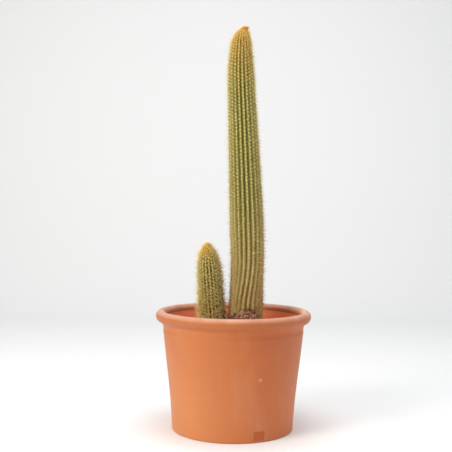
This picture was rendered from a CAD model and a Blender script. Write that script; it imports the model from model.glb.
import math
import random

import bmesh
import bpy
import numpy as np
from mathutils import Matrix, Vector, noise
from mathutils.geometry import interpolate_bezier


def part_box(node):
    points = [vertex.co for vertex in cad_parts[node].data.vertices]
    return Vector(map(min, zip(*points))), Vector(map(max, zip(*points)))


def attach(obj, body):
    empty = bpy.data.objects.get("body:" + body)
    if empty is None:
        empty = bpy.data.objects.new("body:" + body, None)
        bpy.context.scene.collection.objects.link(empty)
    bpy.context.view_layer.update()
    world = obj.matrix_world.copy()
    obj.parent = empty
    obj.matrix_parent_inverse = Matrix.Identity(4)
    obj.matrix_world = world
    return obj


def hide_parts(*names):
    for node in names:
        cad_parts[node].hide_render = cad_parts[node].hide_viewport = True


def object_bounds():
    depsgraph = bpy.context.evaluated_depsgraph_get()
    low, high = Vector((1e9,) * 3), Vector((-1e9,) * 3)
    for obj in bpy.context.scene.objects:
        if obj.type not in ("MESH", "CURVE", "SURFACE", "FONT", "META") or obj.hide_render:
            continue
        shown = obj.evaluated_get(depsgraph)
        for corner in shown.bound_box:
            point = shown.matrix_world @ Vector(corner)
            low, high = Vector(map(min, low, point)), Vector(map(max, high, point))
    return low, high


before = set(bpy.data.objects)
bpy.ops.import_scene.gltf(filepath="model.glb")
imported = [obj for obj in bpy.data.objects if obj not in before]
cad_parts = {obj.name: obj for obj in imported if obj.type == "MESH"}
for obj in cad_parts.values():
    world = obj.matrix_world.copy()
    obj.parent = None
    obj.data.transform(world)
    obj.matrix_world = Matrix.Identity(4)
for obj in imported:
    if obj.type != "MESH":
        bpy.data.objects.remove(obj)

# A tall golden-spined column cactus and its short offset, in a thrown terracotta pot.
# Metres, +Z up, the front of the plant towards -Y. Sizes in the dictionaries are millimetres.

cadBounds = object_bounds()
mm = 0.001
fullTurn = 2 * math.pi
print("frame loaded")


cameraSetup = {
    "lens": 62.7,
    "sensorWidth": 36,
    "place": (-13.6, -1273, 340),
    "tiltDown": 0.64,          # degrees
    "roll": 0.62,
    "reach": 50,               # metres
}
studio = {
    "floorColour": "#F0F1F1",
    "backdropAway": 1310,      # behind the pot, where the floor starts to sweep up
    "flatRows": (-3000, -1500, 0, 700),  # where the flat floor is cut across, front to back
    "sweepRadius": 500,
    "sweepSteps": 12,
    "halfWidth": 3500,
    "height": 3200,
    "worldColour": "#F4F5F7",
    "worldStrength": 0.43,     # as a light
    "worldSeen": 0.88,         # and where it shows past the backdrop
}
studioLights = [               # name, place, size, watts, colour
    ("windowLeft", (-1500, -1200, 1100), 1100, 26.5, "#FFFAF2"),
    ("whiteCardRight", (1900, -300, 700), 1600, 8, "#FBFBFF"),
    ("ceilingBounce", (0, -200, 1900), 1700, 24.5, "#FFFFFF"),
]


def millimetres(values):
    return Vector(values) * mm


def linearColour(hexText):  # an sRGB hex value as linear red, green, blue and alpha
    channels = [int(hexText[i:i + 2], 16) / 255 for i in (1, 3, 5)]
    linear = [c / 12.92 if c <= 0.04045 else ((c + 0.055) / 1.055) ** 2.4 for c in channels]
    return (*linear, 1.0)


def addNode(tree, kind, values=None, links=None, stops=None, **settings):
    node = tree.nodes.new(kind)
    for name, value in settings.items():
        setattr(node, name, value)
    for socket, value in (values or {}).items():
        node.inputs[socket].default_value = value
    for socket, source in (links or {}).items():
        tree.links.new(source, node.inputs[socket])
    for i, (position, colour) in enumerate(stops or []):  # a ramp's two ends, then the rest
        element = node.color_ramp.elements[i] if i < 2 else node.color_ramp.elements.new(position)
        element.position = position
        element.color = linearColour(colour)
    return node


def newMaterial(name):
    material = bpy.data.materials.new(name)
    material.use_nodes = True
    tree = material.node_tree
    return material, tree, tree.nodes["Principled BSDF"]


def fineNoise(tree, place, size, detail, roughness=0.5):  # features this many millimetres across
    values = {"Scale": 1 / (size * mm), "Detail": detail, "Roughness": roughness}
    return addNode(tree, "ShaderNodeTexNoise", values, {"Vector": place}).outputs["Fac"]


def remap(tree, source, low, high, least, most):
    values = {"From Min": low, "From Max": high, "To Min": least, "To Max": most}
    return addNode(tree, "ShaderNodeMapRange", values, {"Value": source}).outputs["Result"]


def multiplied(tree, first, second, clamped=False):
    return addNode(tree, "ShaderNodeMath", None, {0: first, 1: second}, operation="MULTIPLY",
                   use_clamp=clamped).outputs["Value"]


def layer(tree, below, colour, share):  # this colour laid over what is below, as far as share says
    return addNode(tree, "ShaderNodeMix", {7: linearColour(colour)}, {"Factor": share, 6: below},
                   data_type="RGBA").outputs[2]


def ramp(tree, source, stops):
    return addNode(tree, "ShaderNodeValToRGB", None, {"Fac": source}, stops=stops).outputs["Color"]


def attribute(tree, name):
    return addNode(tree, "ShaderNodeAttribute", attribute_name=name).outputs["Fac"]


def objectPlace(tree):
    return addNode(tree, "ShaderNodeTexCoord").outputs["Object"]


def addBump(tree, surface, height, strength, depth):
    bump = addNode(tree, "ShaderNodeBump", {"Strength": strength, "Distance": depth * mm},
                   {"Height": height})
    tree.links.new(bump.outputs["Normal"], surface.inputs["Normal"])


def dressSurface(tree, surface, colour, height, strength, depth):  # colour and bump
    tree.links.new(colour, surface.inputs["Base Color"])
    addBump(tree, surface, height, strength, depth)


def linkObject(name, mesh):
    piece = bpy.data.objects.new(name, mesh)
    bpy.context.scene.collection.objects.link(piece)
    return piece


def placeCamera(setup):
    camera = linkObject("camera", bpy.data.cameras.new("camera"))
    camera.data.lens = setup["lens"]
    camera.data.sensor_width = setup["sensorWidth"]
    camera.data.clip_end = setup["reach"]
    tilt = Matrix.Rotation(math.radians(90 - setup["tiltDown"]), 4, "X")
    roll = Matrix.Rotation(math.radians(setup["roll"]), 4, "Z")
    camera.matrix_world = Matrix.Translation(millimetres(setup["place"])) @ tilt @ roll
    bpy.context.scene.camera = camera


def aimedLight(name, place, size, watts, colour):
    lamp = bpy.data.lights.new(name, "AREA")
    lamp.shape = "DISK"
    lamp.size = size * mm
    lamp.energy = watts
    lamp.color = linearColour(colour)[:3]
    light = linkObject(name, lamp)
    middle = (cadBounds[0] + cadBounds[1]) / 2
    spot = millimetres(place)
    aim = (spot - middle).to_track_quat("Z", "Y").to_matrix().to_4x4()
    light.matrix_world = Matrix.Translation(spot) @ aim


def mattePaint(colour):  # matt wall paint: flat and pale, with a trace of roller texture
    material, tree, paint = newMaterial("matteStudioPaint")
    roller = fineNoise(tree, objectPlace(tree), 6, 3.0)
    addBump(tree, paint, roller, 0.05, 0.5)
    paint.inputs["Base Color"].default_value = linearColour(colour)
    paint.inputs["Roughness"].default_value = 0.9
    return material


def sweptFloor(setup):  # floor and backdrop in one sheet
    radius = setup["sweepRadius"]
    away = setup["backdropAway"]
    outline = [(y, 0) for y in setup["flatRows"]]
    for i in range(setup["sweepSteps"] + 1):
        angle = math.radians(90 * i / setup["sweepSteps"])
        outline.append((away + radius * math.sin(angle), radius * (1 - math.cos(angle))))
    outline.append((away + radius, setup["height"]))
    bm = bmesh.new()
    chain = [bm.verts.new(millimetres((-setup["halfWidth"], y, z))) for y, z in outline]
    edges = [bm.edges.new(pair) for pair in zip(chain, chain[1:])]
    swept = bmesh.ops.extrude_edge_only(bm, edges=edges)
    moved = [item for item in swept["geom"] if isinstance(item, bmesh.types.BMVert)]
    bmesh.ops.translate(bm, verts=moved, vec=(2 * setup["halfWidth"] * mm, 0, 0))
    bmesh.ops.recalc_face_normals(bm, faces=bm.faces)
    mesh = bpy.data.meshes.new("studioFloor")
    bm.to_mesh(mesh)
    bm.free()
    for face in mesh.polygons:
        face.use_smooth = True
    mesh.materials.append(mattePaint(setup["floorColour"]))
    floor = linkObject("studioFloor", mesh)
    world = bpy.data.worlds.new("studioAir")
    world.use_nodes = True
    sky = world.node_tree.nodes["Background"]
    sky.inputs["Color"].default_value = linearColour(setup["worldColour"])
    ray = addNode(world.node_tree, "ShaderNodeLightPath")
    strength = addNode(world.node_tree, "ShaderNodeMapRange",
                       {"To Min": setup["worldStrength"], "To Max": setup["worldSeen"]},
                       {"Value": ray.outputs["Is Camera Ray"]})
    world.node_tree.links.new(strength.outputs["Result"], sky.inputs["Strength"])
    bpy.context.scene.world = world


placeCamera(cameraSetup)
sweptFloor(studio)
for lightRow in studioLights:
    aimedLight(*lightRow)
bpy.context.scene.view_settings.view_transform = "Standard"
print("camera, floor and lights placed")


def finishPiece(bm, name, material, sharpAngle=None):
    mesh = bpy.data.meshes.new(name)
    bm.to_mesh(mesh)
    bm.free()
    return finishMesh(mesh, name, material, sharpAngle)


def finishMesh(mesh, name, material, sharpAngle=None):
    for face in mesh.polygons:
        face.use_smooth = True
    if sharpAngle:
        mesh.set_sharp_from_angle(angle=math.radians(sharpAngle))
    mesh.materials.clear()
    mesh.materials.append(material)
    piece = linkObject(name, mesh)
    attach(piece, "root")
    return piece


def spunOutline(points, steps, closed):  # turns (radius, height) points round the Z axis
    bm = bmesh.new()
    chain = [bm.verts.new((radius, 0, height)) for radius, height in points]
    edges = [bm.edges.new(pair) for pair in zip(chain, chain[1:])]
    if closed:
        edges.append(bm.edges.new((chain[-1], chain[0])))
    bmesh.ops.spin(bm, geom=chain + edges, cent=(0, 0, 0), axis=(0, 0, 1),
                   angle=fullTurn, steps=steps, use_merge=True)
    bmesh.ops.remove_doubles(bm, verts=bm.verts, dist=1e-6)
    bmesh.ops.recalc_face_normals(bm, faces=bm.faces)
    return bm


def arcPoints(centre, radii, start, end, steps):
    angles = [math.radians(start + (end - start) * i / steps) for i in range(steps + 1)]
    return [(centre[0] + radii[0] * math.cos(angle), centre[1] + radii[1] * math.sin(angle))
            for angle in angles]


def bezierPoints(first, handleOne, handleTwo, last, steps):
    knots = [Vector(point) for point in (first, handleOne, handleTwo, last)]
    return [tuple(point) for point in interpolate_bezier(*knots, steps + 1)]


def withoutRepeats(points):
    kept = [points[0]]
    for point in points[1:]:
        if math.dist(point, kept[-1]) > 1e-3:
            kept.append(point)
    return kept


def ease(value, low, high):  # 0 below low, 1 above high, smooth between
    share = min(max((value - low) / (high - low), 0), 1)
    return share * share * (3 - 2 * share)


def noiseAt(place, size, seed=0):  # smooth noise from -1 to 1, with features of this size
    return noise.noise(Vector(place) / (size * mm) + Vector((seed, seed, seed)))


# A lone master shape is copied to many places by geometry nodes, which are applied at once.
def copyNodes(master):
    group = bpy.data.node_groups.new("copyToPlaces", "GeometryNodeTree")
    group.interface.new_socket("Places", in_out="INPUT", socket_type="NodeSocketGeometry")
    group.interface.new_socket("Copies", in_out="OUTPUT", socket_type="NodeSocketGeometry")
    places = addNode(group, "NodeGroupInput")
    shape = addNode(group, "GeometryNodeObjectInfo", {"Object": master})
    turn = addNode(group, "GeometryNodeInputNamedAttribute", {"Name": "turn"},
                   data_type="QUATERNION")
    size = addNode(group, "GeometryNodeInputNamedAttribute", {"Name": "size"},
                   data_type="FLOAT_VECTOR")
    copies = addNode(group, "GeometryNodeInstanceOnPoints", None, {
        "Points": places.outputs["Places"], "Instance": shape.outputs["Geometry"],
        "Rotation": turn.outputs["Attribute"], "Scale": size.outputs["Attribute"]})
    solid = addNode(group, "GeometryNodeRealizeInstances", None,
                    {"Geometry": copies.outputs["Instances"]})
    addNode(group, "NodeGroupOutput", None, {"Copies": solid.outputs["Geometry"]})
    return group


def scatterCopies(name, master, copies, material):  # each copy: place, turn, size, tone
    mesh = bpy.data.meshes.new(name + "Places")
    mesh.vertices.add(len(copies))
    mesh.vertices.foreach_set("co", [c for copy in copies for c in copy[0]])
    for attribute, kind, item, column in (("turn", "QUATERNION", "value", 1),
                                          ("size", "FLOAT_VECTOR", "vector", 2)):
        values = mesh.attributes.new(attribute, kind, "POINT")
        values.data.foreach_set(item, [c for copy in copies for c in copy[column]])
    tones = mesh.attributes.new("tone", "FLOAT", "POINT")
    tones.data.foreach_set("value", [copy[3] for copy in copies])
    holder = linkObject(name + "Places", mesh)
    spread = holder.modifiers.new("copyToPlaces", "NODES")
    spread.node_group = copyNodes(master)
    bpy.context.view_layer.update()
    graph = bpy.context.evaluated_depsgraph_get()
    finished = bpy.data.meshes.new_from_object(holder.evaluated_get(graph))
    finished.name = name
    for attribute in ("turn", "size"):
        if attribute in finished.attributes:
            finished.attributes.remove(finished.attributes[attribute])
    bpy.data.objects.remove(holder)
    finishMesh(finished, name, material)
    print(f"{name}: {len(copies)} copies, {len(finished.polygons)} faces")


def masterShape(bm, name):  # an object that is only copied, and isn't in the scene
    mesh = bpy.data.meshes.new(name)
    bm.to_mesh(mesh)
    bm.free()
    return bpy.data.objects.new(name, mesh)


_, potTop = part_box("terracotta_pot")
pot = {                        # thrown on a wheel, in millimetres
    "height": potTop.z / mm,
    "rimRadius": potTop.x / mm,
    "roll": 8,                 # the rolled rim's half width
    "rollDrop": 10,            # and the depth of its lower half
    "neckRadius": 113,
    "throatRadius": 105,       # the inside of the wall at the top of the mix
    "bandHeight": 154,         # a shallow step under the neck
    "bandStep": 0.6,
    "belly": 2.6,              # how far the wall bows out, between these heights
    "bellyLow": 60,
    "bellyHigh": 105,
    "footRadius": 97.6,
    "footRound": 2,
    "wall": 7.5,
    "floor": 10,
    "floorFillet": 10,
    "filletEase": 4.5,
    "soilEdge": 158,
    "drainRadius": 11,
    "drainChamfer": 0.8,
    "steps": 160,
    "wobble": 0.35,            # how far the hand-thrown wall strays from round
    "ringPitch": 4.6,          # the throwing rings inside
    "ringDepth": 0.28,
    "stampWidth": 19,
    "stampHeight": 15,
    "stampDepth": 0.8,
    "stampFoot": 2.5,
    "stampTurn": 24,           # degrees to the right of the front
    "scuffAt": (40, -97, 97),  # a chalky rub mark on the wall
    "paleTop": 175,            # below this height it fired paler, most of all at the foot
    "flameSide": (-80, 50),    # and redder from left to right, towards the flame
    "rimTone": (170, 175),     # the heights between which the rim's darker tone comes in
    "limeTop": (183, 189),     # and those for the lime on top of the rim
}


def innerWall(p, inset, steps):  # the inside of the wall, from where the mix ends down to the floor
    inner = p["footRadius"] - p["wall"] - inset
    top = p["throatRadius"] - inset
    return bezierPoints((top, p["soilEdge"]), (p["footRadius"] + p["belly"] - inset, p["bellyHigh"]),
                        (inner + p["belly"], p["bellyLow"]),
                        (inner, p["floor"] + p["floorFillet"]), steps)


def potOutline(p):
    roll = (p["rimRadius"] - p["roll"], p["height"] - p["roll"])
    coveTop = arcPoints(roll, (p["roll"], p["rollDrop"]), -80, 0, 8)
    inner = p["footRadius"] - p["wall"]
    innerTop = p["throatRadius"]
    points = [(p["drainRadius"], p["drainChamfer"]), (p["drainRadius"] + p["drainChamfer"], 0)]
    points += [(radius, 0) for radius in np.linspace(20, p["footRadius"] - 6, 10)]
    points += arcPoints((p["footRadius"] - p["footRound"], p["footRound"]),
                        (p["footRound"], p["footRound"]), -90, 0, 5)
    points += bezierPoints((p["footRadius"], p["footRound"]),
                           (p["footRadius"] + p["belly"], p["bellyLow"]),
                           (p["neckRadius"] - 5, p["bellyHigh"]),
                           (p["neckRadius"] - p["bandStep"], p["bandHeight"] - 1), 34)
    points += bezierPoints((p["neckRadius"] - p["bandStep"] + 0.2, p["bandHeight"]),
                           (p["neckRadius"] - 0.2, p["bandHeight"] + 0.8),
                           (p["neckRadius"] + 0.3, p["bandHeight"] + 2),
                           (p["neckRadius"], p["bandHeight"] + 4), 5)
    points += [(p["neckRadius"] - 0.2, p["bandHeight"] + 7)]
    points += bezierPoints((p["neckRadius"], p["bandHeight"] + 10),
                           (p["neckRadius"] + 0.9, p["bandHeight"] + 14),
                           (coveTop[0][0] - 2.6, coveTop[0][1] - 1.4), coveTop[0], 7)
    points += coveTop
    points += arcPoints(roll, (p["roll"], p["roll"]), 0, 180, 20)
    points += bezierPoints((roll[0] - p["roll"], roll[1]), (roll[0] - p["roll"], roll[1] - 7),
                           (innerTop + 0.6, 172), (innerTop, p["soilEdge"]), 12)
    points += innerWall(p, 0, 20)
    points += bezierPoints((inner, p["floor"] + p["floorFillet"]),
                           (inner, p["floor"] + p["filletEase"]),
                           (inner - p["filletEase"], p["floor"]),
                           (inner - p["floorFillet"], p["floor"]), 6)
    points += [(radius, p["floor"]) for radius in (60, 40, 20)]
    points += [(p["drainRadius"] + p["drainChamfer"], p["floor"]),
               (p["drainRadius"], p["floor"] - p["drainChamfer"])]
    return [(radius * mm, height * mm) for radius, height in withoutRepeats(points)]


def stampPot(bm, p):  # presses the blank stamp in: cuts its border, then sinks what is inside
    turn = math.radians(p["stampTurn"])
    facing = Vector((math.sin(turn), -math.cos(turn), 0))
    across = Vector((math.cos(turn), math.sin(turn), 0))
    middle = facing * p["footRadius"] * mm
    half = p["stampWidth"] / 2 * mm
    low = p["stampFoot"] * mm
    high = low + p["stampHeight"] * mm
    planes = [(middle - across * half, across), (middle + across * half, across),
              (Vector((0, 0, low)), Vector((0, 0, 1))), (Vector((0, 0, high)), Vector((0, 0, 1)))]

    def nearStamp(place, margin):
        offset = place - middle
        outside = Vector((place.x, place.y)).length > (p["footRadius"] - 3) * mm
        beside = abs(offset.dot(across)) < half + margin
        level = low - margin < place.z < high + margin
        return outside and beside and level and place.dot(facing) > 0

    for point, direction in planes:
        near = [f for f in bm.faces if nearStamp(f.calc_center_median(), 6 * mm)]
        edges = {e for f in near for e in f.edges}
        verts = {v for f in near for v in f.verts}
        bmesh.ops.bisect_plane(bm, geom=[*near, *edges, *verts], dist=1e-7,
                               plane_co=point, plane_no=direction)
    inside = [f for f in bm.faces if nearStamp(f.calc_center_median(), 0)]
    bmesh.ops.inset_region(bm, faces=inside, thickness=0.6 * mm, depth=-p["stampDepth"] * mm,
                           use_even_offset=True)
    stamped = bm.verts.layers.float.new("stamped")
    for vertex in {v for f in inside for v in f.verts}:
        vertex[stamped] = 1


def unglazedTerracotta(p):  # low-fired red clay, thrown and left bare: dry, matt and softly cloudy
    material, tree, clay = newMaterial("unglazedTerracotta")
    place = objectPlace(tree)
    axes = addNode(tree, "ShaderNodeSeparateXYZ", None, {"Vector": place}).outputs
    clouds = fineNoise(tree, place, 90, 3.0)
    colour = ramp(tree, clouds, [(0.30, "#BC6732"), (0.70, "#C8753B"), (0.5, "#C26E36")])
    toFoot = remap(tree, axes["Z"], p["paleTop"] * mm, 0.0, 0.0, 0.55)
    colour = layer(tree, colour, "#DE9258", toFoot)
    left, right = p["flameSide"]
    toFlame = remap(tree, axes["X"], left * mm, right * mm, 0.0, 0.64)
    colour = layer(tree, colour, "#B6551C", toFlame)
    low, high = p["rimTone"]
    toRim = remap(tree, axes["Z"], low * mm, high * mm, 0.0, 0.62)
    colour = layer(tree, colour, "#B0612E", toRim)
    drawn = addNode(tree, "ShaderNodeMapping", {"Scale": (1, 1, 0.3)}, {"Vector": place})
    bloom = fineNoise(tree, drawn.outputs["Vector"], 34, 4.0, 0.6)  # salts, in upright patches
    colour = layer(tree, colour, "#D9A27A", remap(tree, bloom, 0.52, 0.8, 0.0, 0.2))
    low, high = p["limeTop"]
    onRim = remap(tree, axes["Z"], low * mm, high * mm, 0.0, 1.0)
    limeShare = remap(tree, bloom, 0.35, 0.7, 0.35, 0.85)
    colour = layer(tree, colour, "#D8AE98", multiplied(tree, onRim, limeShare))
    colour = layer(tree, colour, "#EE7440", attribute(tree, "inside"))  # damp, so more orange
    colour = layer(tree, colour, "#B65A24", attribute(tree, "stamped"))
    grit = fineNoise(tree, place, 1.6, 2.0)
    colour = layer(tree, colour, "#E0A07A", remap(tree, grit, 0.66, 0.76, 0.0, 0.3))
    toScuff = addNode(tree, "ShaderNodeVectorMath", {1: millimetres(p["scuffAt"])}, {0: place},
                      operation="DISTANCE").outputs["Value"]
    ragged = addNode(tree, "ShaderNodeMath", {1: 0.006, 2: -0.003}, {0: grit},
                     operation="MULTIPLY_ADD").outputs["Value"]
    edge = addNode(tree, "ShaderNodeMath", None, {0: toScuff, 1: ragged},
                   operation="ADD").outputs["Value"]
    colour = layer(tree, colour, "#E6B79C", remap(tree, edge, 0.0036, 0.0014, 0.0, 0.55))
    dressSurface(tree, clay, colour, fineNoise(tree, place, 0.9, 5.0, 0.65), 0.35, 0.25)
    tree.links.new(remap(tree, clouds, 0.0, 1.0, 0.48, 0.62), clay.inputs["Roughness"])
    clay.inputs["Specular IOR Level"].default_value = 0.5
    clay.inputs["Sheen Weight"].default_value = 0.05
    return material


def makePot(p):
    bm = spunOutline(potOutline(p), p["steps"], closed=True)
    stampPot(bm, p)
    inside = bm.verts.layers.float.new("inside")
    radii, heights = zip(*reversed(innerWall(p, 0, 12)))
    for vertex in bm.verts:
        flat = Vector((vertex.co.x, vertex.co.y, 0))
        radius = flat.length
        height = vertex.co.z
        wallMiddle = (np.interp(height / mm, heights, radii) + p["wall"] / 2) * mm
        isInner = radius < wallMiddle and height > p["floor"] * mm * 0.9
        if isInner and height > 30 * mm:
            rings = math.cos(fullTurn * height / (p["ringPitch"] * mm))
            radius += p["ringDepth"] * mm * rings * ease(p["height"] - height / mm, 12, 24)
        vertex[inside] = float(isInner) * ease(p["height"] - height / mm, 3, 10)
        wobble = noiseAt((flat.x, flat.y, height * 0.6), 110, seed=3) * p["wobble"] * mm
        if flat.length > 30 * mm and height > 0.5 * mm:
            vertex.co.x, vertex.co.y = flat.xy.normalized() * (radius + wobble)
    piece = finishPiece(bm, "terracottaPot", unglazedTerracotta(p), sharpAngle=32)
    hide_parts("terracotta_pot")
    print("pot thrown:", len(piece.data.polygons), "faces")


makePot(pot)


mix = {                        # heaped round the stems, lower towards the wall
    "edge": pot["soilEdge"],
    "rise": 26,
    "moundX": 8,
    "moundY": -14,
    "spreadX": 34,
    "spreadY": 26,
    "driftRise": 11,           # crumbs washed up against the front of the tall stem
    "driftX": 24,
    "driftY": -30,
    "driftSpreadX": 16,
    "driftSpreadY": 9,
    "lump": 1.4,               # height of the lumps in the surface
    "lumpSize": 9,
    "steps": 220,
    "ringStep": 1.7,
    "gap": 0.35,
}


def mixHeight(x, y):  # the top of the mix, in metres
    m = mix
    mound = math.hypot((x / mm - m["moundX"]) / m["spreadX"], (y / mm - m["moundY"]) / m["spreadY"])
    drift = math.hypot((x / mm - m["driftX"]) / m["driftSpreadX"],
                       (y / mm - m["driftY"]) / m["driftSpreadY"])
    edge = 1 - min(math.hypot(x, y) / (pot["throatRadius"] * mm), 1) ** 8
    heap = m["rise"] * math.exp(-mound ** 2 / 2) + m["driftRise"] * math.exp(-drift ** 2 / 2)
    lumps = m["lump"] * (noiseAt((x, y, 0), m["lumpSize"], 7) + 0.5 * noiseAt((x, y, 0), 3.5, 11))
    return (m["edge"] + edge * heap + lumps) * mm


def barkMix():  # composted bark, coir and grit: dark, dry and crumbly
    material, tree, soil = newMaterial("barkAndCoirMix")
    place = objectPlace(tree)
    crumbs = addNode(tree, "ShaderNodeTexVoronoi", {"Scale": 1 / (3.2 * mm), "Randomness": 1.0},
                     {"Vector": place})
    colours = ramp(tree, crumbs.outputs["Color"],
                   [(0.15, "#2E1B13"), (0.85, "#744A36"), (0.5, "#4C2F22")])
    mixed = addNode(tree, "ShaderNodeMix", {"Factor": 0.35, 7: linearColour("#7C5540")},
                    {6: colours}, data_type="RGBA", blend_type="OVERLAY").outputs[2]
    dressSurface(tree, soil, mixed, fineNoise(tree, place, 1.2, 6.0), 0.8, 1.0)
    soil.inputs["Roughness"].default_value = 0.95
    soil.inputs["Specular IOR Level"].default_value = 0.2
    return material


def makeMixBed():
    p = pot
    inner = p["footRadius"] - p["wall"] - mix["gap"]
    top = p["throatRadius"] - mix["gap"]
    base = p["floor"] + mix["gap"]
    points = [(0, base), (30, base), (inner - p["floorFillet"], base)]
    points += bezierPoints((inner - p["floorFillet"], base), (inner - p["filletEase"], base),
                           (inner, base + p["filletEase"]),
                           (inner, p["floor"] + p["floorFillet"]), 4)
    points += innerWall(p, mix["gap"], 10)[::-1]
    rings = int(top / mix["ringStep"])
    points += [(top * i / rings, mix["edge"]) for i in range(rings, -1, -1)]
    points = [(radius * mm, height * mm) for radius, height in withoutRepeats(points)]
    bm = spunOutline(points, mix["steps"], closed=False)
    for vertex in bm.verts:
        if vertex.co.z > (mix["edge"] - 0.5) * mm:
            vertex.co.z = mixHeight(vertex.co.x, vertex.co.y)
    piece = finishPiece(bm, "pottingMixBed", barkMix())
    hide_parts("potting_mix")
    print("mix filled:", len(piece.data.polygons), "faces")


makeMixBed()


tall = {                       # the column
    "node": "tall_stem",
    "ribs": 21,
    "ribDepth": 3.8,
    "twist": 0.28,             # how far the ribs turn at the foot, in radians
    "twistEnd": 275,           # the height above which they run straight
    "areolePitch": 5.6,
    "tubercle": 1.0,           # how far each areole stands out on its rib
    "ageTop": 624,             # the heights between which the spines go from young to old
    "ageFoot": 185,
    "corkFoot": 185,           # the height below which the skin is corky
    "youngSkin": (545, 612),   # the heights between which it turns golden
    "greens": ("#545406", "#7A7A20", "#A8983E"),  # in the valleys, on the flanks, on the crests
    "corkTint": "#D2B070",
    "tipCrowding": 0.55,       # how close the areoles come at the tip, as a share of their pitch
    "shadeSide": 0.08,         # how much browner the spines are on the right, and paler on the left
    "toneSpread": 0.12,        # how much the spines of one areole differ in age
}
short = {                      # its offset
    "node": "short_stem",
    "ribs": 20,
    "ribDepth": 3.7,
    "twist": 0,
    "twistEnd": 200,
    "areolePitch": 5.2,
    "tubercle": 1.0,
    "ageTop": 284,
    "ageFoot": 60,
    "corkFoot": 110,
    "youngSkin": (262, 288),
    "greens": ("#3C3C04", "#6A6E18", "#A2963C"),
    "corkTint": "#B4944A",
    "tipCrowding": 0.85,
    "shadeSide": 0.45,
    "toneSpread": 0.28,
}
stemMesh = {
    "pointsPerRib": 8,
    "ringStep": 1.45,
    "fadeLow": 164,            # the ribs fade out below the mix, between these heights
    "fadeHigh": 184,
    "deepest": 0.21,           # the deepest valley, as a share of the stem's radius
    "uneven": 0.25,            # how far the skin strays from even
}


def stemRings(nodeName):  # the CAD stem's level rings: radius over the ribs, height, middle x and y
    places = sorted((v.co.z, v.co.x, v.co.y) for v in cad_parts[nodeName].data.vertices)
    groups = [[places[0]]]
    for place in places[1:]:
        if place[0] - groups[-1][-1][0] > 0.1 * mm:
            groups.append([])
        groups[-1].append(place)
    rings = []
    for group in groups:
        _, xs, ys = zip(*group)
        middle = ((min(xs) + max(xs)) / 2, (min(ys) + max(ys)) / 2)
        radius = max(math.dist(middle, (x, y)) for x, y in zip(xs, ys))
        rings.append((radius, group[0][0], *middle))
    return np.array(rings)


def smoothOutline(rings, step):  # evenly spaced rows eased through the rings, rounded at both poles
    mirror = np.array([-1, 1, 1, 1])
    rows = np.vstack([rings[1] * mirror, rings, rings[-2] * mirror])
    lengths = np.hypot(np.diff(rows[:, 0]), np.diff(rows[:, 1]))
    along = np.concatenate([[0], np.cumsum(lengths)])
    slopes = np.gradient(rows, along, axis=0)
    count = int((along[-2] - along[1]) / (step * mm))
    wanted = np.linspace(along[1], along[-2], count + 1)
    index = np.clip(np.searchsorted(along, wanted, "right") - 1, 1, len(along) - 3)
    span = (along[index + 1] - along[index])[:, None]
    t = (wanted[:, None] - along[index][:, None]) / span
    result = ((2 * t ** 3 - 3 * t ** 2 + 1) * rows[index]
              + (t ** 3 - 2 * t ** 2 + t) * span * slopes[index]
              + (3 * t ** 2 - 2 * t ** 3) * rows[index + 1]
              + (t ** 3 - t ** 2) * span * slopes[index + 1])
    result[0, 0] = result[-1, 0] = 0
    result[:, 0] = np.maximum(result[:, 0], 0)
    result[:, 1] = np.maximum.accumulate(result[:, 1] + np.arange(count + 1) * 1e-9)
    return result


def stemTurn(stem, height):  # how far the ribs have turned at this height
    return stem["twist"] * (1 - ease(height / mm, stemMesh["fadeHigh"], stem["twistEnd"]))


def prepareStem(stem):
    outline = smoothOutline(stemRings(stem["node"]), stemMesh["ringStep"])
    widest = outline[:, 0].max()
    crowding = np.clip(outline[:, 0] / (0.72 * widest), stem["tipCrowding"], 1) ** 0.8
    pitch = stem["areolePitch"] * mm * crowding
    stem["outline"] = outline
    stem["areoleCount"] = np.cumsum(stemMesh["ringStep"] * mm / pitch)
    stem["slope"] = np.gradient(outline, stemMesh["ringStep"] * mm, axis=0)


def ribPhase(rib):  # areoles on neighbouring ribs are set half a step apart
    return 0.5 * (rib % 2) + 0.08 * math.sin(rib * 2.4)


def waxyRind(name, stem):  # live cactus skin: waxy green, corky below, golden at the young tip
    material, tree, skin = newMaterial(name)
    place = objectPlace(tree)
    height = addNode(tree, "ShaderNodeSeparateXYZ", None, {"Vector": place}).outputs["Z"]
    rib = attribute(tree, "ribCrest")
    mottle = fineNoise(tree, place, 9, 4.0)
    valley, flank, crest = stem["greens"]
    colour = ramp(tree, rib, [(0.05, valley), (0.95, crest), (0.5, flank)])
    age = remap(tree, height, stem["corkFoot"] * mm, (stem["corkFoot"] + 190) * mm, 1.0, 0.0)
    onCrest = remap(tree, rib, 0.3, 0.8, 0.75, 2.0)  # the crests turn corky before the valleys do
    corky = multiplied(tree, multiplied(tree, age, mottle), onCrest, clamped=True)
    colour = layer(tree, colour, stem["corkTint"], corky)
    low, high = stem["youngSkin"]
    colour = layer(tree, colour, "#A67810", remap(tree, height, low * mm, high * mm, 0.0, 0.85))
    fleck = fineNoise(tree, place, 1.1, 2.0)
    colour = layer(tree, colour, "#B5B77A", remap(tree, fleck, 0.58, 0.72, 0.0, 0.5))
    dressSurface(tree, skin, colour, fleck, 0.4, 0.3)
    skin.inputs["Roughness"].default_value = 0.55
    skin.inputs["Subsurface Weight"].default_value = 0.08
    skin.inputs["Subsurface Radius"].default_value = (0.002, 0.003, 0.001)
    return material


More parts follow.
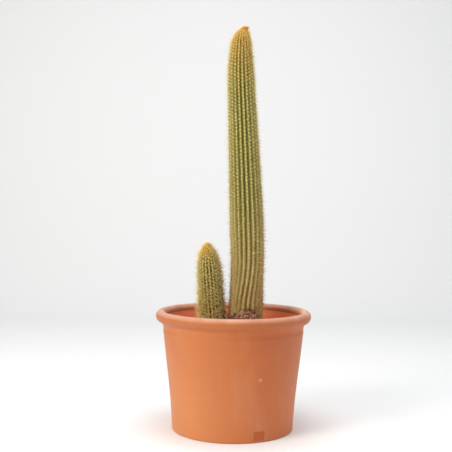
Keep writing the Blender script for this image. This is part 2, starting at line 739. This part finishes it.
def makeStem(name, stem, material):
    outline = stem["outline"]
    steps = stem["ribs"] * stemMesh["pointsPerRib"]
    bm = spunOutline([(row[0], row[1]) for row in outline], steps, closed=False)
    crestLayer = bm.verts.layers.float.new("ribCrest")
    for vertex in bm.verts:
        row = min(int(np.searchsorted(outline[:, 1], vertex.co.z - 1e-9)), len(outline) - 1)
        radius = math.hypot(vertex.co.x, vertex.co.y)
        angle = math.atan2(vertex.co.y, vertex.co.x)
        ribPlace = angle * stem["ribs"] / fullTurn
        rib = round(ribPlace) % stem["ribs"]
        fromCrest = abs(ribPlace - round(ribPlace)) * 2
        fade = ease(vertex.co.z / mm, stemMesh["fadeLow"], stemMesh["fadeHigh"])
        depth = min(stem["ribDepth"] * mm, radius * stemMesh["deepest"]) * fade
        swell = 0.5 + 0.5 * math.cos(fullTurn * (stem["areoleCount"][row] - ribPhase(rib)))
        bump = stem["tubercle"] * mm * (swell - 0.5) * max(0, 1 - fromCrest * 1.3) * fade
        if radius < 1e-6:
            bump = 0
        shaped = radius - depth * fromCrest ** 1.35 + bump
        if radius > 4 * mm:
            place = (angle * 0.01, vertex.co.z, rib * 0.1)
            shaped += stemMesh["uneven"] * mm * noiseAt(place, 30, 5) * fade
        turned = angle - stemTurn(stem, vertex.co.z)
        vertex[crestLayer] = 1 - fromCrest
        vertex.co.x = outline[row, 2] + shaped * math.cos(turned)
        vertex.co.y = outline[row, 3] + shaped * math.sin(turned)
    piece = finishPiece(bm, name, material)
    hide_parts(stem["node"])
    print(f"{name}: {len(piece.data.polygons)} faces")


prepareStem(tall)
prepareStem(short)
makeStem("tallStem", tall, waxyRind("tallRind", tall))
makeStem("shortStem", short, waxyRind("shortRind", short))


# The spines are two to three times as thick as real ones, and fewer, so that they show from a metre
# away. Each row: how many an areole has, their length, their lift from the skin in degrees, their
# thickness, and how much older they look than the areole.
spineLook = {
    "tallRadial": {"count": 5, "length": (2.8, 5.0), "lift": (10, 44), "width": 0.54, "older": 0},
    "tallCentral": {"count": 2, "length": (4.4, 7.6), "lift": (40, 88), "width": 0.66, "older": 0},
    "tallBristle": {"count": 0.36, "length": (8, 13), "lift": (15, 85), "width": 0.50,
                    "older": 0.35},
    "shortRadial": {"count": 3.5, "length": (3.0, 6.0), "lift": (12, 50), "width": 0.66,
                    "older": 0},
    "shortCentral": {"count": 2.2, "length": (5.6, 10.0), "lift": (18, 75), "width": 0.90,
                     "older": -0.12},
    "shortBristle": {"count": 1.3, "length": (9, 13.5), "lift": (15, 85), "width": 0.66,
                     "older": 0.45},
    "footBristle": {"count": 3.4, "length": (7, 13.5), "lift": (15, 75), "width": 0.80,
                    "older": -0.4},
}
woolLook = {                   # the pad of wool in each areole
    "width": (1.5, 2.3),
    "height": (2.5, 3.8),
    "thickness": 1.4,
    "stretch": 0.66,           # how much taller an old pad is than a young one
    "toneSpread": 0.10,
}
footBristles = {"below": 224, "rightmost": 0.35}  # they grow low on the short stem's front and left


def spineTone(stem, age, outward, change):  # only spines near the tip reach the strongest gold
    tone = age + change + stem["shadeSide"] * outward.x
    return min(max(tone, min(age, 0.08)), 1)


def areolesOf(stem):  # each: place, outward, up, side, scale, age
    outline = stem["outline"]
    counts = stem["areoleCount"]
    rows = np.arange(len(outline))
    found = []
    for rib in range(stem["ribs"]):
        for step in range(int(counts[-1]) + 1):
            target = step + ribPhase(rib)
            if target > counts[-1] - 0.35:
                continue
            row = float(np.interp(target, counts, rows))
            low = min(int(row), len(outline) - 2)
            share = row - low
            radius, height, middleX, middleY = outline[low] * (1 - share) + outline[low + 1] * share
            rise = stem["slope"][low] * (1 - share) + stem["slope"][low + 1] * share
            angle = fullTurn * rib / stem["ribs"] - stemTurn(stem, height)
            radial = Vector((math.cos(angle), math.sin(angle), 0))
            up = (radial * rise[0] + Vector((rise[2], rise[3], rise[1]))).normalized()
            side = Vector((-math.sin(angle), math.cos(angle), 0))
            outward = side.cross(up).normalized()
            out = radius + stem["tubercle"] * 0.4 * mm
            place = Vector((middleX, middleY, height)) + radial * out
            if place.z < mixHeight(place.x, place.y) - 1.5 * mm:
                continue
            scale = min(1, 0.55 + 0.45 * radius / (0.6 * outline[:, 0].max()))
            age = 1 - (place.z / mm - stem["ageFoot"]) / (stem["ageTop"] - stem["ageFoot"])
            found.append((place, outward, up, side, scale, min(max(age, 0), 1)))
    return found


def needleMaster():  # a slim three-sided needle one unit long, thickest near its foot
    bm = bmesh.new()
    bmesh.ops.create_cone(bm, cap_ends=True, segments=3, radius1=0.5, radius2=0.0, depth=1.0)
    bmesh.ops.remove_doubles(bm, verts=bm.verts, dist=1e-5)
    bmesh.ops.translate(bm, verts=bm.verts, vec=(0, 0, 0.5))
    sides = [e for e in bm.edges if abs(e.verts[0].co.z - e.verts[1].co.z) > 0.5]
    bmesh.ops.subdivide_edges(bm, edges=sides, cuts=1, use_grid_fill=False)
    along = bm.verts.layers.float.new("along")
    for vertex in bm.verts:
        height = vertex.co.z
        vertex[along] = height
        if 0.2 < height < 0.8:
            vertex.co.x *= 1.5
            vertex.co.y *= 1.5
    bmesh.ops.recalc_face_normals(bm, faces=bm.faces)
    return masterShape(bm, "needle")


def needleCopies(stem, areoles, look, rng):
    copies = []
    for place, outward, up, side, scale, age in areoles:
        whole = int(look["count"])
        number = whole + (rng.random() < look["count"] - whole)
        start = rng.random() * fullTurn
        shade = rng.gauss(0, 0.22)
        for i in range(number):
            around = start + fullTurn * (i + rng.uniform(-0.3, 0.3)) / max(number, 1)
            lift = math.radians(rng.uniform(*look["lift"]))
            length = rng.uniform(*look["length"]) * mm * scale
            flat = side * math.cos(around) + up * math.sin(around)
            way = flat * math.cos(lift) + outward * math.sin(lift)
            root = place + flat * 0.5 * mm * rng.random() - outward * 0.15 * mm
            turn = way.to_track_quat("Z", "Y")
            width = look["width"] * mm * rng.uniform(0.8, 1.15)
            change = shade + look["older"] + rng.gauss(0, stem["toneSpread"])
            tone = spineTone(stem, age, outward, change)
            copies.append((root, turn, (width, width, length), tone))
    return copies


def strawSpine(name, stops, tipColour):  # dry straw gold: hard, slightly glossy, darker with age
    material, tree, straw = newMaterial(name)
    colour = ramp(tree, attribute(tree, "tone"), stops)
    toTip = remap(tree, attribute(tree, "along"), 0.45, 1.0, 0.0, 0.6)
    tree.links.new(layer(tree, colour, tipColour, toTip), straw.inputs["Base Color"])
    straw.inputs["Roughness"].default_value = 0.45
    straw.inputs["Specular IOR Level"].default_value = 0.4
    return material


def areoleFelt(name, stops):  # short wool in the areoles: matt felt that greys with age
    material, tree, felt = newMaterial(name)
    hair = fineNoise(tree, objectPlace(tree), 0.35, 3.0)
    dressSurface(tree, felt, ramp(tree, attribute(tree, "tone"), stops), hair, 0.8, 0.2)
    felt.inputs["Roughness"].default_value = 0.95
    felt.inputs["Sheen Weight"].default_value = 0.3
    return material


def padMaster():  # a low woolly cushion, one unit across
    bm = bmesh.new()
    bmesh.ops.create_uvsphere(bm, u_segments=8, v_segments=5, radius=0.5)
    for vertex in bm.verts:
        vertex.co *= 1 + 0.25 * noise.noise(vertex.co * 3.1)
    bmesh.ops.scale(bm, verts=bm.verts, vec=(1, 1, 0.5))
    return masterShape(bm, "woolPad")


def growSpines(prefix, stem, material, felt, rng):
    areoles = areolesOf(stem)
    pads = []
    for place, outward, up, side, scale, age in areoles:
        turn = outward.to_track_quat("Z", "Y")
        width = rng.uniform(*woolLook["width"]) * mm * scale
        height = rng.uniform(*woolLook["height"]) * mm * scale ** 1.5
        height *= 1 + woolLook["stretch"] * age
        shifted = place + (side * rng.gauss(0, 0.3) + up * rng.gauss(0, 0.35)) * mm * scale
        tone = spineTone(stem, age, outward, rng.gauss(0, woolLook["toneSpread"]))
        pads.append((shifted, turn, (width, height, woolLook["thickness"] * mm * scale), tone))
    scatterCopies(prefix + "AreoleWool", padMaster(), pads, felt)
    half = len(areoles) // 2
    ordered = sorted(areoles, key=lambda areole: areole[0].z)
    for part, chosen in (("Lower", ordered[:half]), ("Upper", ordered[half:])):
        copies = needleCopies(stem, chosen, spineLook[prefix + "Radial"], rng)
        scatterCopies(prefix + "RadialSpines" + part, needle, copies, material)
    copies = needleCopies(stem, ordered, spineLook[prefix + "Central"], rng)
    scatterCopies(prefix + "CentralSpines", needle, copies, material)
    copies = needleCopies(stem, ordered, spineLook[prefix + "Bristle"], rng)
    scatterCopies(prefix + "Bristles", needle, copies, material)
    print(prefix, "stem:", len(areoles), "areoles")
    return ordered


def crownWool(name, stem, crown, material):  # the woolly growing point
    tip = Vector((stem["outline"][-1, 2], stem["outline"][-1, 3], stem["outline"][-1, 1]))
    bm = bmesh.new()
    bmesh.ops.create_icosphere(bm, subdivisions=4, radius=1)
    for vertex in bm.verts:
        taper = 1 - crown["taper"] * ease(vertex.co.x, -0.4, 1)  # narrower towards +X
        vertex.co.y *= taper
        vertex.co.z *= taper
        lumps, fluff = noise.noise(vertex.co * 4), noise.noise(vertex.co * 11)
        vertex.co *= 1 + 0.16 * lumps + 0.07 * fluff
    half = Vector(crown["half"]) * mm
    bmesh.ops.scale(bm, verts=bm.verts, vec=half)
    bmesh.ops.rotate(bm, verts=bm.verts, cent=(0, 0, 0),
                     matrix=Matrix.Rotation(-math.radians(crown["tilt"]), 3, "Y"))
    bmesh.ops.translate(bm, verts=bm.verts, vec=tip + millimetres(crown["shift"]))
    return finishPiece(bm, name, material)


def tipTuft(name, crown, tuft, material, rng):  # young spines, close together all over the wool
    faces = [f for f in crown.data.polygons if f.normal.z > -0.5]
    lean = Vector(tuft["lean"])
    copies = []
    for face in rng.choices(faces, weights=[f.area for f in faces], k=tuft["count"]):
        loose = Vector([rng.gauss(0, 0.15) for _ in range(3)])
        way = (lean + face.normal * tuft["stand"] + loose).normalized()
        length = rng.uniform(*tuft["length"]) * mm
        width = tuft["width"] * mm * rng.uniform(0.8, 1.2)
        root = face.center - way * tuft["buried"] * length
        copies.append((root, way.to_track_quat("Z", "Y"), (width, width, length), rng.random()))
    scatterCopies(name, needle, copies, material)


# The wool is an egg of these half sizes, narrowed and tilted, its middle this far from the stem's tip.
# The tuft's spines lean one way and stand off the wool, with part of their length buried in it.
tallCrown = {"half": (7.2, 4.8, 4.2), "taper": 0.6, "tilt": 20, "shift": (1.4, -3.0, -1.4)}
shortCrown = {"half": (3.8, 3.8, 4.2), "taper": 0.0, "tilt": 0, "shift": (0, 0, -2.4)}
tallTuft = {"count": 620, "lean": (0.9, -0.1, 0.35), "stand": 0.42, "length": (2.6, 5.0),
            "width": 0.5, "buried": 0.25}
shortTuft = {"count": 170, "lean": (-0.06, 0, 0.75), "stand": 0.75, "length": (4.5, 8.5),
             "width": 0.75, "buried": 0.25}
# A dry bristle that fell across the front of the tall stem.
strayStraw = {"from": (28, -28, 283.5), "to": (47, -19, 284.5), "width": 1.0}

needle = needleMaster()
goldStops = [(0.0, "#FFD052"), (1.0, "#C08C42"), (0.06, "#F0D67C"), (0.35, "#E6D48C"),
             (0.7, "#E0C684")]
youngStops = [(0.0, "#FFB440"), (1.0, "#E89428"), (0.5, "#F4A434")]
freshStops = [(0.0, "#FFE484"), (1.0, "#CC9A3C"), (0.5, "#F0C85C")]
feltStops = [(0.0, "#FFDA6A"), (1.0, "#DCBA84"), (0.06, "#EEDC92"), (0.5, "#E4D496")]
goldSpine = strawSpine("strawGoldSpine", goldStops, "#F0DFA8")
youngSpine = strawSpine("youngOrangeSpine", youngStops, "#FFC880")
freshSpine = strawSpine("freshYellowSpine", freshStops, "#FFEBA4")
areoleWool = areoleFelt("areoleFelt", feltStops)
growSpines("tall", tall, goldSpine, areoleWool, random.Random(21))
shortAreoles = growSpines("short", short, goldSpine, areoleWool, random.Random(20))
orangeWool = areoleFelt("youngOrangeWool", [(0.0, "#EE9E28"), (1.0, "#EE9E28")])
yellowWool = areoleFelt("freshYellowWool", [(0.0, "#E8B848"), (1.0, "#E8B848")])
tallWool = crownWool("tallCrownWool", tall, tallCrown, orangeWool)
shortWool = crownWool("shortCrownWool", short, shortCrown, yellowWool)
tipTuft("tallTipTuft", tallWool, tallTuft, youngSpine, random.Random(5))
tipTuft("shortTipTuft", shortWool, shortTuft, freshSpine, random.Random(6))
footAreoles = [areole for areole in shortAreoles if areole[0].z < footBristles["below"] * mm
               and areole[1].x < footBristles["rightmost"]]
footCopies = needleCopies(short, footAreoles, spineLook["footBristle"], random.Random(7))
scatterCopies("shortFootBristles", needle, footCopies, goldSpine)
strawWay = millimetres(strayStraw["to"]) - millimetres(strayStraw["from"])
strawSize = (strayStraw["width"] * mm, strayStraw["width"] * mm, strawWay.length)
strayCopy = (millimetres(strayStraw["from"]), strawWay.to_track_quat("Z", "Y"), strawSize, 0.3)
scatterCopies("strayBristle", needle, [strayCopy], goldSpine)


crumbLook = {                  # caught ones hang in the lowest spines, over the drift
    "barkFlakes": {"count": 420, "size": (3.0, 7.5), "flat": 0.30, "onDrift": 0.14, "caught": 2},
    "barkCrumbs": {"count": 2600, "size": (1.2, 2.8), "flat": 0.75, "onDrift": 0.30, "caught": 70},
    "barkLumps": {"count": 420, "size": (2.8, 5.2), "flat": 0.7, "onDrift": 0.34, "caught": 12},
    "pumiceGrit": {"count": 150, "size": (1.1, 2.6), "flat": 0.85, "onDrift": 0.30, "caught": 12},
}
crumbsCaught = {
    "heights": (184, 200, 186),  # lowest, highest and most common
    "around": -78,               # degrees round the tall stem
    "spread": 20,
    "standOff": (-1.0, 1.2),     # from the rib crests
}
stemFeet = [(19.5, 0, 27), (-34, -6, 20)]  # where no crumbs lie: middle x and y, and a radius
driftScatter = (15, 6)                     # how widely they lie on the drift, across and in depth


def brokenMaster(name, seed, flat):  # a small broken lump, about one unit across
    bm = bmesh.new()
    bmesh.ops.create_icosphere(bm, subdivisions=1, radius=0.5)
    for vertex in bm.verts:
        vertex.co *= 1 + 0.32 * noise.noise(vertex.co * 2.7 + Vector((seed, 0, 0)))
        vertex.co.z *= flat
    bmesh.ops.recalc_face_normals(bm, faces=bm.faces)
    return masterShape(bm, name)


def crumbPlaces(look, rng):  # free places on the mix, clear of both stems
    wallRadius = pot["throatRadius"] - 2.5
    found = []
    while len(found) < look["count"]:
        if rng.random() < look["onDrift"]:
            x = rng.gauss(mix["driftX"], driftScatter[0])
            y = rng.gauss(mix["driftY"] - 1, driftScatter[1])
        else:
            around, away = rng.random() * fullTurn, wallRadius * math.sqrt(rng.random())
            x, y = away * math.cos(around), away * math.sin(around)
        clear = all(math.hypot(x - sx, y - sy) > radius for sx, sy, radius in stemFeet)
        if clear and math.hypot(x, y) < wallRadius:
            found.append((x * mm, y * mm))
    return found


def caughtPlaces(count, rng):  # crumbs caught in the lowest spines, over the drift
    outline = tall["outline"]
    found = []
    for _ in range(count):
        height = rng.triangular(*crumbsCaught["heights"]) * mm
        radius, _, x, y = outline[int(np.searchsorted(outline[:, 1], height))]
        around = math.radians(rng.gauss(crumbsCaught["around"], crumbsCaught["spread"]))
        away = radius + rng.uniform(*crumbsCaught["standOff"]) * mm
        found.append((x + away * math.cos(around), y + away * math.sin(around), height))
    return found


def scatterCrumbs(name, material, seed):
    look = crumbLook[name]
    rng = random.Random(seed)
    copies = []
    lying = [(x, y, mixHeight(x, y)) for x, y in crumbPlaces(look, rng)]
    for x, y, height in lying + caughtPlaces(look["caught"], rng):
        size = rng.uniform(*look["size"]) * mm
        turn = Vector((rng.gauss(0, 0.5), rng.gauss(0, 0.5), 1)).to_track_quat("Z", "Y")
        turn = turn @ Matrix.Rotation(rng.random() * fullTurn, 3, "Z").to_quaternion()
        place = Vector((x, y, height + size * look["flat"] * rng.uniform(0.15, 0.55)))
        copies.append((place, turn, (size, size * rng.uniform(0.5, 0.95), size), rng.random()))
    master = brokenMaster(name + "Shape", seed, look["flat"])
    scatterCopies(name, master, copies, material)


def brokenBark(name, stops):  # composted bark and coir, dry: matt, from near black to red brown
    material, tree, bark = newMaterial(name)
    fibre = fineNoise(tree, objectPlace(tree), 0.8, 4.0)
    colour = ramp(tree, attribute(tree, "tone"), stops)
    colour = layer(tree, colour, "#A0735A", remap(tree, fibre, 0.5, 0.8, 0.0, 0.5))
    dressSurface(tree, bark, colour, fibre, 0.7, 0.4)
    bark.inputs["Roughness"].default_value = 0.93
    bark.inputs["Specular IOR Level"].default_value = 0.25
    return material


darkBark = brokenBark("driedBark", [(0.0, "#52301E"), (1.0, "#C09478"), (0.5, "#8A5A42")])
palePumice = brokenBark("palePumice", [(0.0, "#A88C70"), (1.0, "#D2BC9C"), (0.5, "#BEA484")])
scatterCrumbs("barkFlakes", darkBark, 31)
scatterCrumbs("barkCrumbs", darkBark, 32)
scatterCrumbs("barkLumps", darkBark, 33)
scatterCrumbs("pumiceGrit", palePumice, 34)


print("finished")
